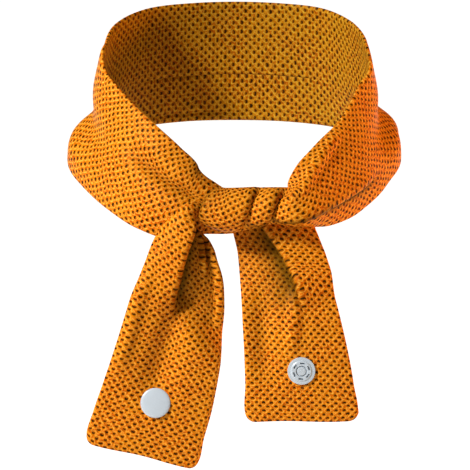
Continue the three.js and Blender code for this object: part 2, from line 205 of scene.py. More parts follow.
# The tails, from inside the knot down to the hem. side is a share of the strip's width, forward a
# share of the roll's radius and drop a share of the tail's length. slant tilts the strip's width from
# level, in degrees, with the right end down.
LEFT_TAIL_ROWS = table(
    "side forward drop slant span curl",
    (-0.19, -0.7, 0.012, 62, 0.16, 120),
    (-0.345, 0.35, 0.012, 54, 0.19, 140),
    (-0.366, 0.7, 0.04, 24, 0.3, 130),
    (-0.383, 0.9, 0.1, 2, 0.535, 100),
    (-0.392, 1.0, 0.145, 0, 0.59, 80),
    (-0.4, 1.08, 0.2, 1, 0.635, 64),
    (-0.408, 1.12, 0.28, 3, 0.715, 48),
    (-0.435, 1.15, 0.36, 6, 0.77, 36),
    (-0.468, 1.17, 0.46, 10, 0.815, 28),
    (-0.515, 1.17, 0.5625, 12, 0.84, 22),
    (-0.567, 1.17, 0.667, 13, 0.87, 15),
    (-0.622, 1.16, 0.77, 13.5, 0.895, 10),
    (-0.683, 1.14, 0.87, 14, 0.905, 8),
    (-0.736, 1.12, 0.975, 14, 0.905, 6),
    (-0.748, 1.11, 1, 14, 0.865, 6),
)
RIGHT_TAIL_ROWS = table(
    "side forward drop slant span curl",
    (0.2, -1.35, -0.04, 0, 0.5, 60),
    (0.25, -1.25, 0.05, 0, 0.58, 60),
    (0.3, -1.0, 0.14, 0, 0.64, 46),
    (0.345, -0.85, 0.215, 0, 0.665, 36),
    (0.38, -0.55, 0.3, 0, 0.7, 28),
    (0.415, 0.1, 0.4, 0, 0.74, 22),
    (0.45, 0.6, 0.53, 0, 0.785, 16),
    (0.483, 0.9, 0.67, 0, 0.825, 12),
    (0.51, 1.0, 0.82, 0, 0.86, 8),
    (0.527, 1.0, 0.975, 0.5, 0.88, 6),
    (0.528, 1.0, 1, 0.5, 0.85, 6),
)

# Folds. Each runs from one place on the strip to another: start and end are shares of the run's
# length, from_across and to_across shares of the way across, and bow is how far its middle bends
# across. width and depth are shares of the strip's width, as bow is, and fade is the share of the
# fold in which it rises or dies away at each end. A ridge with a depth below 0 is a groove, a ledge
# sets back all beyond it, and a pleat is steep on its far side. The crease shade column is how dark
# the shade painted along the fold's line is, and reach how far that painted shade spreads over the
# deeper side, as a share of the strip's width. A fold whose depth is 0 only paints shade.
FOLD_COLUMNS = "kind start end from_across to_across bow width depth fade crease reach"
RIDGE, LEDGE, PLEAT = 0, 1, 2
LOOP_FOLDS = table(
    FOLD_COLUMNS,
    # Only painted shade, where the roll's left end is tucked into the knot
    (RIDGE, 0, 0, -0.5, 1.5, 0, 0.01, 0, 0.2, 0.95, 0.045),
    (PLEAT, 0.063, 0.037, 0.13, 0.76, 0, 0.06, -0.05, 0.25, 0.55, 0.015),
    (PLEAT, 0.085, 0.063, 0.12, 0.8, 0, 0.055, -0.06, 0.25, 0.75, 0.014),
    (RIDGE, 0.108, 0.082, 0.2, 0.42, 0, 0.02, 0.025, 0.35, 0, 0),
    (RIDGE, 0.078, 0.21, 0.44, 0.08, -0.1, 0.05, 0.04, 0.3, 0, 0),
    (LEDGE, 0.035, 0.222, 0.655, 0.77, -0.07, 0.012, 0.028, 0.2, 1, 0.035),
    (RIDGE, 0.04, 0.15, 0.69, 0.625, -0.03, 0.01, 0, 0.3, 0.9, 0.025),
    (PLEAT, 0.062, 0.215, 0.645, 0.755, -0.075, 0.1, 0.028, 0.25, 0, 0),
    (RIDGE, 0.062, 0.215, 0.67, 0.78, -0.075, 0.01, -0.055, 0.25, 0, 0),
    (RIDGE, 0.215, 0.401, 0.5, 0.6, 0, 0.15, -0.06, 0.35, 0, 0),
    (RIDGE, 0.215, 0.401, 0.8, 0.84, 0, 0.16, 0.055, 0.35, 0, 0),
    (RIDGE, 0.41, 0.63, 0.61, 0.61, 0, 0.012, 0.008, 0.15, 0, 0),
    (RIDGE, 0.41, 0.63, 0.93, 0.93, 0, 0.012, 0.015, 0.15, 0, 0),
    (RIDGE, 0.638, 0.835, 0.6, 0.5, 0, 0.15, -0.06, 0.35, 0, 0),
    (RIDGE, 0.638, 0.835, 0.84, 0.8, 0, 0.16, 0.055, 0.35, 0, 0),
    (RIDGE, 0.83, 0.97, 0.34, 0.38, 0, 0.09, -0.065, 0.35, 0.3, 0.1),
)
LEFT_TAIL_FOLDS = table(
    FOLD_COLUMNS,
    (LEDGE, 0.04, 0.5, 1.0, 0.44, -0.2, 0.018, 0.13, 0.22, 0.85, 0.12),
    (RIDGE, 0.1, 0.36, 0.86, 0.76, 0, 0.04, 0.05, 0.35, 0, 0),
    (RIDGE, 0.11, 0.3, 0.9, 0.84, 0, 0.05, -0.07, 0.3, 0.85, 0.04),
    (LEDGE, 0.14, 0.55, 0.94, 0.91, 0, 0.035, -0.05, 0.3, 0.3, 0.03),
    (RIDGE, 0.26, 0.78, 0.08, 0.085, 0, 0.07, 0.05, 0.35, 0, 0),
    (RIDGE, 0.32, 0.86, 0.5, 0.42, 0, 0.15, -0.075, 0.35, 0.15, 0.12),
)
RIGHT_TAIL_FOLDS = table(
    FOLD_COLUMNS,
    (LEDGE, 0.06, 0.54, 0.34, 0.64, 0.06, 0.02, -0.11, 0.28, 0.85, 0.2),
    (RIDGE, 0.38, 0.74, 0.62, 0.42, 0, 0.06, 0.035, 0.35, 0, 0),
    (RIDGE, 0.35, 0.9, 0.22, 0.18, 0, 0.12, -0.05, 0.4, 0.12, 0.1),
)

# How many times steeper a pleat is on its far side
PLEAT_STEEPNESS = 3

# The hems: how far up the cloth is drawn by them, the corners' radius, the edge's waves, and how far
# the edge slopes over the strip's width
LEFT_HEM = {
    "reach": 9 * MM,
    "corner": 3 * MM,
    "wave": 0.4 * MM,
    "waves": 1.3,
    "phase": 0.6,
    "slope": 0,
}
RIGHT_HEM = {
    "reach": 9 * MM,
    "corner": 4 * MM,
    "wave": 0.35 * MM,
    "waves": 1.1,
    "phase": 2.4,
    "slope": -1 * MM,
}

# How much of a hem's corner radius is drawn in
CORNER_SHARE = 0.8

# How far the shade painted in a crease spreads over its raised side, as a share of the strip's width
CREASE_EDGE = 0.015

# How far beyond a ledge's line its foot is, where the shade painted on its deeper side begins, as a share
# of the ledge's own width
CREASE_FOOT = 4

# How far the roll's left end takes to close, and the share of its size that stays open
END_TURN = 2.6 * MM
END_OPENING = 0.03

# Longer than any run, so that a wall's profile is rounded at one end only
OPEN_END = 10

# How far the sections stay clear of a turned end, in shares of what the turn takes
HEM_CLEAR = 1.3
END_CLEAR = 1.1

# Vertices nearer to each other than this are joined
WELD_DISTANCE = 1e-6

# The least curl, in radians, of a section that is nearly flat
LEAST_CURL = 1e-4


def smooth_step(low, high, value):
    """0 below low and 1 above high, with a smooth rise between."""
    t = np.clip((value - low) / (high - low), 0, 1)
    return t * t * (3 - 2 * t)


def unit(vectors):
    """The same directions, one unit long."""
    return vectors / np.linalg.norm(vectors, axis=-1, keepdims=True)


class Run:
    """One stretch of the strip: a smooth curve through its rows that carries every column."""

    def __init__(self, rows, folds, hanging):
        self.rows = rows
        self.folds = [dict(zip(folds, row)) for row in zip(*folds.values())]
        self.hanging = hanging
        steps = np.linalg.norm(np.diff(rows[:, :3], axis=0), axis=1)
        self.reach = np.concatenate([[0], np.cumsum(steps)])
        self.length = self.reach[-1]
        self.slopes = self.row_slopes()

    def row_slopes(self):
        """How fast every column changes at each row."""
        gaps = np.diff(self.reach)[:, None]
        rises = np.diff(self.rows, axis=0) / gaps
        back, ahead = gaps[:-1], gaps[1:]
        inner = (rises[:-1] * ahead + rises[1:] * back) / (back + ahead)
        return np.concatenate([rises[:1], inner, rises[-1:]])

    def at(self, reach):
        """Every column of the rows at distances along the run."""
        i = np.clip(np.searchsorted(self.reach, reach, side="right") - 1, 0, len(self.rows) - 2)
        gap = (self.reach[i + 1] - self.reach[i])[:, None]
        t = (reach - self.reach[i])[:, None] / gap
        return (
            self.rows[i] * (2 * t**3 - 3 * t**2 + 1)
            + self.slopes[i] * gap * (t**3 - 2 * t**2 + t)
            + self.rows[i + 1] * (3 * t**2 - 2 * t**3)
            + self.slopes[i + 1] * gap * (t**3 - t**2)
        )

    def places_by(self, fold, reach, across):
        """How far places lie beyond a fold's line, in shares of the width, and its strength there."""
        along, over = reach[:, None], across[None, :] * STRIP_WIDTH
        start = np.array([fold["start"] * self.length, fold["from_across"] * STRIP_WIDTH])
        end = np.array([fold["end"] * self.length, fold["to_across"] * STRIP_WIDTH])
        line = end - start
        way_along, way_over = along - start[0], over - start[1]
        t = (way_along * line[0] + way_over * line[1]) / (line @ line)
        beyond = (line[0] * way_over - line[1] * way_along) / np.linalg.norm(line) / STRIP_WIDTH
        beyond = beyond - fold["bow"] * np.clip(4 * t * (1 - t), 0, 1)
        strength = smooth_step(0, fold["fade"], t) * (1 - smooth_step(1 - fold["fade"], 1, t))
        return beyond, strength

    def fold_height(self, reach, across):
        """How far the folds lift the cloth, in metres."""
        height = np.zeros((len(reach), len(across)))
        for fold in self.folds:
            beyond, strength = self.places_by(fold, reach, across)
            beyond = beyond / fold["width"]
            if fold["kind"] == LEDGE:
                shape = -smooth_step(-1, 1, beyond)
            elif fold["kind"] == PLEAT:
                shape = np.exp(-np.where(beyond > 0, PLEAT_STEEPNESS * beyond, beyond) ** 2)
            else:
                shape = np.exp(-beyond * beyond)
            height += strength * fold["depth"] * shape
        return height * STRIP_WIDTH

    def crease(self, reach, across):
        """How much shade is painted on the cloth in its sharp folds, from 0 to 1."""
        light = np.ones((len(reach), len(across)))
        for fold in self.folds:
            if fold["crease"] > 0:
                beyond, strength = self.places_by(fold, reach, across)
                spread = fold["reach"]
                if fold["kind"] == LEDGE:
                    deeper = beyond * np.sign(fold["depth"])
                    beyond = np.maximum(deeper - CREASE_FOOT * fold["width"], np.minimum(deeper, 0))
                    spread = np.where(deeper > 0, spread, CREASE_EDGE)
                light *= 1 - strength * fold["crease"] * np.exp(-np.abs(beyond) / spread)
        return 1 - light

    def surface(self, reach, across, folded=True):
        """Points of the cloth's middle surface on a grid of places, with its folds or without."""
        row = self.at(reach)
        step = 0.2 * MM
        ahead = self.at(np.minimum(reach + step, self.length))
        behind = self.at(np.maximum(reach - step, 0))
        tangent = unit((ahead - behind)[:, :3])
        lean, width = np.radians(row[:, 3]), row[:, 4] * STRIP_WIDTH
        curl = np.radians(row[:, 5])
        curl = np.where(np.abs(curl) < LEAST_CURL, LEAST_CURL, curl)
        if self.hanging:
            over = np.stack([np.cos(lean), 0 * lean, -np.sin(lean)], -1)
            out = unit(np.cross(tangent, over))
        else:
            outward = unit(np.cross(tangent, [0, 0, 1.0]))
            downward = np.cross(tangent, outward)
            over = downward * np.cos(lean)[:, None] + outward * np.sin(lean)[:, None]
            out = outward * np.cos(lean)[:, None] - downward * np.sin(lean)[:, None]
        angle = (across[None, :] - 0.5) * curl[:, None]
        lift = self.fold_height(reach, across) * folded
        radius = (width / curl)[:, None]
        sideways = (radius + lift) * np.sin(angle)
        outwards = (radius + lift) * np.cos(angle) - radius
        return (
            row[:, None, :3]
            + over[:, None, :] * sideways[..., None]
            + out[:, None, :] * outwards[..., None]
        )

    def normals(self, points):
        """Which way the front of the cloth faces, on the same grid."""
        along = np.gradient(points, axis=0)
        over = np.gradient(points, axis=1)
        facing = unit(np.cross(over, along))
        return -facing if self.hanging else facing


def loop_run():
    """The roll and the loop as one run, from the roll's left end round the neck into the knot."""
    roll = np.stack(
        [
            ROLL_ROWS["side"] * ROLL_HALF_LENGTH,
            KNOT.y - ROLL_ROWS["forward"] * ROLL_RADIUS,
            KNOT.z - ROLL_ROWS["fall"] * ROLL_RADIUS,
            ROLL_ROWS["lean"],
            ROLL_ROWS["round"] * ROLL_RADIUS * np.radians(ROLL_ROWS["curl"]) / STRIP_WIDTH,
            ROLL_ROWS["curl"],
        ],
        -1,
    )
    depth = LOOP_ROWS["depth"]
    loop = np.stack(
        [
            LOOP_ROWS["side"] * SIDE_REACH,
            depth * np.where(depth > 0, BACK_REACH, FRONT_REACH),
            -LOOP_ROWS["drop"] * KNOT_DROP,
            LOOP_ROWS["lean"],
            LOOP_ROWS["span"],
            LOOP_ROWS["curl"],
        ],
        -1,
    )
    return Run(np.concatenate([roll, loop]), LOOP_FOLDS, hanging=False)


def tail_run(rows, folds, length):
    """A tail as a run, from inside the knot down to its hem."""
    places = np.stack(
        [
            rows["side"] * STRIP_WIDTH,
            KNOT.y - rows["forward"] * ROLL_RADIUS,
            KNOT.z - rows["drop"] * length,
            rows["slant"],
            rows["span"],
            rows["curl"],
        ],
        -1,
    )
    return Run(places, folds, hanging=True)


def quarter_turn(size):
    """Places from 0 to a size, close together near 0, as a quarter circle needs them."""
    return size * (1 - np.cos(np.linspace(0, math.pi / 2, EDGE_STEPS + 1)))


def across_places(sharp):
    """Places across the strip, closer together between two shares and where its edges turn over."""
    turn = quarter_turn(CLOTH_WALL / STRIP_WIDTH)
    ends = [turn[-1], sharp[0], sharp[1], 1 - turn[-1]]
    parts = [turn[:-1]]
    for low, high, step in zip(ends, ends[1:], (COARSE_ACROSS, FINE_ACROSS, COARSE_ACROSS)):
        count = max(1, round((high - low) * STRIP_WIDTH / step))
        parts.append(np.linspace(low, high, count + 1)[:-1])
    return np.concatenate([*parts, 1 - turn[::-1]])


def places_along(run, hem):
    """Places along a run, close together in the knot and where its end turns over."""
    fine = np.arange(0, min(KNOT_STRETCH, run.length), KNOT_STEP)
    coarse = np.arange(fine[-1] + KNOT_STEP, run.length, SECTION_STEP)
    reach = np.concatenate([fine, coarse])
    if hem:
        hem_end = run.length - quarter_turn(CLOTH_WALL)[::-1]
        return np.concatenate([reach[reach < run.length - HEM_CLEAR * CLOTH_WALL], hem_end])
    return np.concatenate([quarter_turn(END_TURN), reach[reach > END_CLEAR * END_TURN]])


def wall_profile(places, length, reach):
    """Half the wall's thickness, rounded to nothing at distance 0 from an edge."""
    inset = np.minimum(places, length - places)
    t = np.clip(inset / reach, 0, 1)
    return np.sqrt(1 - (1 - t) ** 2)


def round_to_back(values):
    """Values across the front of the cloth, carried on over its far edge and back behind it."""
    return np.concatenate([values, values[:, -2:0:-1]], 1)


def tucked_in(points, reach):
    """Draws the roll's left end together to a closed, round-edged end."""
    open_share = wall_profile(reach, OPEN_END, END_TURN)
    middle = points.mean(1, keepdims=True)
    return middle + (points - middle) * np.maximum(open_share, END_OPENING)[:, None, None]


def cut_hem(points, reach, across, length, hem):
    """Rounds a hem's corners and lets its edge wander a little."""
    across = across * STRIP_WIDTH
    corner = np.clip(1 - np.minimum(across, STRIP_WIDTH - across) / hem["corner"], 0, 1)
    shift = -hem["corner"] * (1 - np.sqrt(1 - corner**2)) * CORNER_SHARE
    shift += hem["wave"] * np.sin(across / STRIP_WIDTH * 2 * math.pi * hem["waves"] + hem["phase"])
    shift += hem["slope"] * (across / STRIP_WIDTH - 0.5)
    rise = smooth_step(length - hem["reach"], length, reach)
    ahead = unit(np.gradient(points, axis=0))
    return points + ahead * (shift[None, :] * rise[:, None])[..., None]


def knit_places(run, reach, across, points, hem, knit):
    """Where the cloth lies on the knit's pattern, and the size of the holes at each section."""
    pattern_start, pattern_way, pitch_share = knit
    rows, columns = points.shape[:2]
    on_roll = np.zeros(rows) if hem else 1 - smooth_step(ROLL_LENGTH, ROLL_LENGTH + ROLL_BLEND, reach)
    stretch = 1 + (ROLL_STRETCH - 1) * on_roll
    plain = run.surface(reach, across, folded=False) if hem else points
    moves = np.diff(plain, axis=0)

    # A tail's knit is measured back from its hem, square to the rows of holes
    if hem:
        over = unit(np.gradient(plain, axis=1))[1:]
        steps = np.linalg.norm(moves - over * (moves * over).sum(-1, keepdims=True), axis=-1)
        to_hem = np.cumsum(steps[::-1], 0)[::-1]
        travelled = round_to_back(to_hem[0].mean() - np.concatenate([to_hem, np.zeros((1, columns))]))
    else:
        steps = np.median(np.linalg.norm(moves, axis=-1), 1) / stretch[1:]
        travelled = np.concatenate([[0], np.cumsum(steps)])[:, None]

    # Across, it is measured from the middle, and drawn together with the strip down to GATHERED_SPAN
    across_steps = np.linalg.norm(np.diff(plain, axis=1), axis=-1)
    arc = np.concatenate([np.zeros((rows, 1)), np.cumsum(across_steps, 1)], 1)
    shown = arc[:, -1:] / STRIP_WIDTH
    middle = np.argmin(np.abs(across - 0.5))
    from_middle = (arc - arc[:, middle, None]) / np.clip(shown, GATHERED_SPAN, 1) / stretch[:, None]
    from_middle = round_to_back(from_middle)

    # On the roll it is turned about the place where the roll ends
    twist = (ROLL_TWIST * on_roll)[:, None]
    from_blend = travelled - np.interp(ROLL_LENGTH, reach, travelled[:, 0])
    knit_along = travelled + from_blend * (np.cos(twist) - 1) - from_middle * np.sin(twist)
    knit_over = STRIP_WIDTH / 2 + from_blend * np.sin(twist) + from_middle * np.cos(twist)
    pattern_along = pattern_start + pattern_way * knit_along / pitch_share
    return np.stack(np.broadcast_arrays(pattern_along, knit_over), -1), 1 + (stretch - 1) * ROLL_HOLES


def cloth_mesh(run, sharp, knit, hem=None):
    """A run as a closed wall with turned edges, and the knit's place along the strip as its UV.

    knit is where the run starts on the knit's pattern, which way it goes and its share of the pitch.
    """
    reach = places_along(run, hem)
    across = across_places(sharp)
    points = run.surface(reach, across)
    if hem:
        points = cut_hem(points, reach, across, run.length, hem)
    else:
        points = tucked_in(points, reach)
    half = CLOTH_WALL / 2 * wall_profile(across, 1, CLOTH_WALL / STRIP_WIDTH)[None, :]
    half = np.repeat(half, len(reach), 0)
    if hem:
        half = half * wall_profile(run.length - reach, OPEN_END, CLOTH_WALL)[:, None]
    wall = run.normals(points) * half[..., None]
    ring = np.concatenate([points + wall, (points - wall)[:, -2:0:-1]], 1)
    rows, size, columns = len(reach), ring.shape[1], len(across)
    i, j = np.meshgrid(np.arange(rows - 1), np.arange(size), indexing="ij")
    a, b = i * size + j, i * size + (j + 1) % size
    quads = np.stack([a, a + size, b + size, b], -1).reshape(-1, 4)
    # The inside of the loop is marked, for the painted shade on it
    inner = np.zeros((rows, size))
    if not run.hanging:
        inner[:, columns:] = 1
    uv, hole_size = knit_places(run, reach, across, points, hem, knit)
    values = {
        "inner": inner.ravel(),
        "cell_size": np.repeat(hole_size, size),
        # Shade painted along the folds' creases
        "crease": round_to_back(run.crease(reach, across)).ravel(),
    }
    return ring.reshape(-1, 3), quads, uv.reshape(-1, 2), values, (rows, size, columns)


def end_faces(start, size, columns, turned):
    """Quads and triangles that close the strip's end, between its front and its back."""
    faces = []
    for j in range(columns - 1):
        front_a, front_b = start + j, start + j + 1
        back_a, back_b = start + (size - j) % size, start + size - j - 1
        if j == 0:
            face = [front_a, front_b, back_b]
        elif j == columns - 2:
            face = [front_a, front_b, back_a]
        else:
            face = [front_a, front_b, back_b, back_a]
        faces.append(face[::-1] if turned else face)
    return faces


def new_object(name, mesh, material):
    """A new object in the scene, at the origin."""
    made = bpy.data.objects.new(name, mesh)
    bpy.context.scene.collection.objects.link(made)
    mesh.materials.append(material)
    return made


def cloth_object(name, parts, material):
    """The cloth's runs as one object, with their hems and hidden ends closed."""
    vertices, faces, uvs, start = [], [], [], 0
    for points, quads, uv, _, (rows, size, columns) in parts:
        faces += (quads + start).tolist()
        faces += end_faces(start, size, columns, False)
        faces += end_faces(start + (rows - 1) * size, size, columns, True)
        vertices.append(points)
        uvs.append(uv)
        start += len(points)
    mesh = bpy.data.meshes.new(name)
    mesh.from_pydata(np.concatenate(vertices).tolist(), [], faces)
    layer = mesh.uv_layers.new(name="knit")
    loop_vertices = np.zeros(len(mesh.loops), int)
    mesh.loops.foreach_get("vertex_index", loop_vertices)
    layer.data.foreach_set("uv", np.concatenate(uvs)[loop_vertices].ravel())
    for key in ("inner", "cell_size", "crease"):
        attribute = mesh.attributes.new(key, "FLOAT", "POINT")
        attribute.data.foreach_set("value", np.concatenate([part[3][key] for part in parts]))
    tidy = bmesh.new()
    tidy.from_mesh(mesh)
    bmesh.ops.remove_doubles(tidy, verts=tidy.verts, dist=WELD_DISTANCE)
    bmesh.ops.recalc_face_normals(tidy, faces=tidy.faces)
    for face in tidy.faces:
        face.smooth = True
    tidy.to_mesh(mesh)
    tidy.free()
    return new_object(name, mesh, material)


class Value:
    """A node's output, which Python's operators turn into Math nodes."""

    def __init__(self, tree, socket):
        self.tree = tree
        self.socket = socket

    def math(self, operation, *others):
        return self.tree.node("ShaderNodeMath", {"operation": operation}, dict(enumerate((self, *others))))

    def __add__(self, other):
        return self.math("ADD", other)

    def __sub__(self, other):
        return self.math("SUBTRACT", other)

    def __rsub__(self, other):
        return self.tree.node("ShaderNodeMath", {"operation": "SUBTRACT"}, {0: other, 1: self})

    def __mul__(self, other):
        return self.math("MULTIPLY", other)

    def __truediv__(self, other):
        return self.math("DIVIDE", other)

    def __rtruediv__(self, other):
        return self.tree.node("ShaderNodeMath", {"operation": "DIVIDE"}, {0: other, 1: self})

    __radd__ = __add__
    __rmul__ = __mul__

    def step(self, low, high):
        """0 below low and 1 above high, with a smooth rise between."""
        return self.tree.node(
            "ShaderNodeMapRange",
            {"interpolation_type": "SMOOTHSTEP"},
            {"Value": self, "From Min": low, "From Max": high},
        )


class Tree:
    """A tree's nodes, made one call at a time."""

    def __init__(self, node_tree):
        self.nodes = node_tree.nodes
        self.links = node_tree.links

    def node(self, kind, settings=None, inputs=None, output=0):
        made = self.nodes.new(kind)
        for name, value in (settings or {}).items():
            setattr(made, name, value)
        for name, value in (inputs or {}).items():
            if isinstance(value, Value):
                self.links.new(value.socket, made.inputs[name])
            else:
                made.inputs[name].default_value = value
        return Value(self, made.outputs[output])

    def mix(self, factor, a, b, blend="MIX"):
        return self.node(
            "ShaderNodeMix",
            {"data_type": "RGBA", "blend_type": blend},
            {0: factor, 6: a, 7: b},
            output=2,
        )

    def noise(self, place, scale, detail, output=0):
        return self.node(
            "ShaderNodeTexNoise",
            {"noise_dimensions": "2D"},
            {"Vector": place, "Scale": scale, "Detail": detail},
            output,
        )

    def attribute(self, name):
        return self.node("ShaderNodeAttribute", {"attribute_name": name}, output=2)

    def first_two(self, vector):
        """The first two parts of a vector."""
        first = self.node("ShaderNodeSeparateXYZ", {}, {0: vector})
        return first, Value(self, first.socket.node.outputs[1])


def new_material(name):
    """A material, its tree and its main shader."""
    material = bpy.data.materials.new(name)
    material.use_nodes = True
    tree = Tree(material.node_tree)
    shader = material.node_tree.nodes["Principled BSDF"]
    return material, tree, shader


def knit_material():
    """An open knit: half-moon holes painted dark on a staggered grid, each with a painted highlight on one
    side of the rim of yarn round it. Shade is painted in the creases and on the loop's inside.
    """
    material, tree, shader = new_material("orange_knit")
    uv = tree.node("ShaderNodeUVMap", {"uv_map": "knit"})
    along, over = tree.first_two(uv)
    wander_x, wander_y = tree.first_two(tree.noise(uv, scale=110, detail=2, output=1))
    a = along / KNIT_PITCH + (wander_x - 0.5) * KNIT_WANDER
    b = over / KNIT_PITCH + (wander_y - 0.5) * KNIT_WANDER
    c, d = a + b, a - b
    cell_c, cell_d = c.math("ROUND"), d.math("ROUND")
    off_c, off_d = c - cell_c, d - cell_d
    cell_size = tree.attribute("cell_size")

    # x and y are how far a place is from the middle of its hole, in mm, along the strip and across it
    half_pitch = KNIT_PITCH / 2 / MM
    x = (off_c + off_d) * cell_size * half_pitch
    y = (off_c - off_d) * cell_size * half_pitch
    cell = tree.node("ShaderNodeCombineXYZ", {}, {0: cell_c, 1: cell_d, 2: 0.0})
    chance = tree.node("ShaderNodeTexWhiteNoise", {"noise_dimensions": "2D"}, {"Vector": cell}, 0)

    round_part = ((x - 0.1) * (x - 0.1) / 0.55 + y * y / 0.66).math("SQRT") + (chance - 0.5) * 0.3
    flat_part = x - 0.5 + (1 - y.math("ABSOLUTE").step(0.0, 0.5)) * 0.12
    inside = (1 - round_part.step(0.85, 1.15)) * (1 - flat_part.step(-0.15, 0.15))
    # Painted shade round the edge of each hole
    hole_edge_shade = (1 - round_part.step(1.0, 1.6)) * (1 - inside)
    # A painted highlight on the rim of each hole, on one side only
    painted_rim_highlight = (1 - (round_part - 1.6).math("ABSOLUTE").step(0.05, 0.4)) * (x + y * 0.7).step(-1.0, 0.8)
    side_of_hole = (y.math("ABSOLUTE") - 2.1).math("ABSOLUTE")
    between = (1 - side_of_hole.step(0.3, 1.1)) * (1 - x.math("ABSOLUTE").step(0.2, 1.3))

    # The net of paler yarn runs between the holes, partly yarn colour and partly painted highlight, and the
    # yarn's colour changes from place to place
    blotch = tree.noise(uv, scale=600, detail=3)
    cloud = tree.noise(uv, scale=60, detail=2)
    from_line_c = 0.5 - off_c.math("ABSOLUTE")
    from_line_d = 0.5 - off_d.math("ABSOLUTE")
    net = (1 - from_line_c.step(0.03, 0.13)).math("MAXIMUM", (1 - from_line_d.step(0.02, 0.1)) * 0.6)
    net = net * blotch.step(0.4, 0.58) * (1 - inside) * (1 - between * 0.7)
    cloth = tree.mix(blotch.step(0.4, 0.62), YARN_DARK, YARN_BRIGHT)
    cloth = tree.mix(cloud.step(0.4, 0.65) * 0.5, cloth, YARN_CLOUD)
    cloth = tree.mix(between * 0.75, cloth, YARN_BETWEEN_HOLES)
    # Painted shade round the holes
    cloth = tree.mix(hole_edge_shade * 0.5, cloth, HOLE_EDGE_SHADE)
    # The net's pale yarn and the painted highlight on the holes' rims
    cloth = tree.mix((net * 0.85).math("MAXIMUM", painted_rim_highlight * 0.6), cloth, PALE_YARN_AND_HIGHLIGHT)
    # Painted shade along the folds' creases
    cloth = tree.mix(tree.attribute("crease"), cloth, PAINTED_CREASE_SHADE)
    # Painted shade on the inside of the loop
    cloth = tree.mix(tree.attribute("inner"), cloth, INNER_SIDE_SHADE, "MULTIPLY")
    # The holes are painted dark for the shade inside them
    hole_shade = tree.mix(chance, HOLE_SHADE_DARK, HOLE_SHADE_BROWN)
    colour = tree.mix(inside, cloth, hole_shade)
    tree.links.new(colour.socket, shader.inputs["Base Color"])

    height = (1 - inside) * 0.5 + net * 0.25 + blotch * 0.5
    bump = tree.node("ShaderNodeBump", {}, {"Strength": 0.6, "Distance": 0.3 * MM, "Height": height})
    tree.links.new(bump.socket, shader.inputs["Normal"])
    shader.inputs["Roughness"].default_value = 0.5
    shader.inputs["Specular IOR Level"].default_value = 0.06
    shader.inputs["Specular Tint"].default_value = CLOTH_SHEEN
    return material


def plastic_material():
    """Smooth white snap plastic."""
    material, _, shader = new_material("white_snap_plastic")
    shader.inputs["Base Color"].default_value = PLASTIC_WHITE
    shader.inputs["Roughness"].default_value = 0.28
    return material


def snap_frame(run, inset, across):
    """Where a snap sits on a tail: its own Z points out of the front of the cloth."""
    reach = run.length - inset + np.array([-0.5, 0, 0.5]) * MM
    places = across + np.array([-0.01, 0, 0.01])
    points = run.surface(reach, places)
    out = Vector(run.normals(points)[1, 1])
    up = Vector((0, 0, 1))
    upward = (up - out * up.dot(out)).normalized()
    sideways = upward.cross(out)
    return Matrix.Translation(points[1, 1]) @ Matrix((sideways, upward, out)).transposed().to_4x4()


def turned_mesh(name, profile, sides=SNAP_SIDES):
    """A turned solid about Z, from rows of radius and height that start and end on the axis."""
    form = bmesh.new()
    rings = []
    for radius, height in profile:
        if radius == 0:
            rings.append([form.verts.new((0, 0, height))])
            continue
        angles = [2 * math.pi * k / sides for k in range(sides)]
        rings.append([form.verts.new((radius * math.cos(t), radius * math.sin(t), height)) for t in angles])
    for low, high in zip(rings, rings[1:]):
        for k in range(sides):
            corners = [
                low[k % len(low)],
                low[(k + 1) % len(low)],
                high[(k + 1) % len(high)],
                high[k % len(high)],
            ]
            form.faces.new(list(dict.fromkeys(corners)))
    bmesh.ops.recalc_face_normals(form, faces=form.faces)
    mesh = bpy.data.meshes.new(name)
    form.to_mesh(mesh)
    form.free()
    return mesh


def rounded(corners, radius, steps=4):
    """A profile with its inner corners rounded off."""
    rows = [corners[0]]
    for before, corner, after in zip(corners, corners[1:], corners[2:]):
        before, corner, after = Vector(before), Vector(corner), Vector(after)
        reach = min(radius, (before - corner).length * 0.45, (after - corner).length * 0.45)
        start = corner + (before - corner).normalized() * reach
        end = corner + (after - corner).normalized() * reach
        for k in range(steps + 1):
            t = k / steps
            rows.append(tuple(start * (1 - t) ** 2 + corner * 2 * t * (1 - t) + end * t**2))
    return rows + [corners[-1]]


def cap_profile():
    """The domed cap, from its underside to the top of its dome."""
    edge = CAP_DIAMETER / 2
    dome = [
        (edge * math.cos(t), SEAT + CAP_EDGE + (CAP_RISE - CAP_EDGE) * math.sin(t))
        for t in np.radians([30, 45, 60, 75])
    ]
    corners = [(0, SEAT), (edge, SEAT), (edge, SEAT + CAP_EDGE), *dome]
    return rounded([*corners, (0, SEAT + CAP_RISE)], CAP_ROUNDING)


def stud_profile():
    """The stud: a plate with a boss that widens a little before its tip."""
    edge, boss = STUD_DIAMETER / 2, STUD_BOSS_DIAMETER / 2
    plate, top = SEAT + STUD_PLATE, SEAT + STUD_PLATE + STUD_BOSS_RISE
    corners = [(0, SEAT), (edge, SEAT), (edge, plate), (boss, plate)]
    corners += [(boss * STUD_BOSS_FLARE, top - STUD_BOSS_BEVEL), (boss * STUD_BOSS_TIP, top)]
    return rounded([*corners, (0, top)], STUD_ROUNDING)


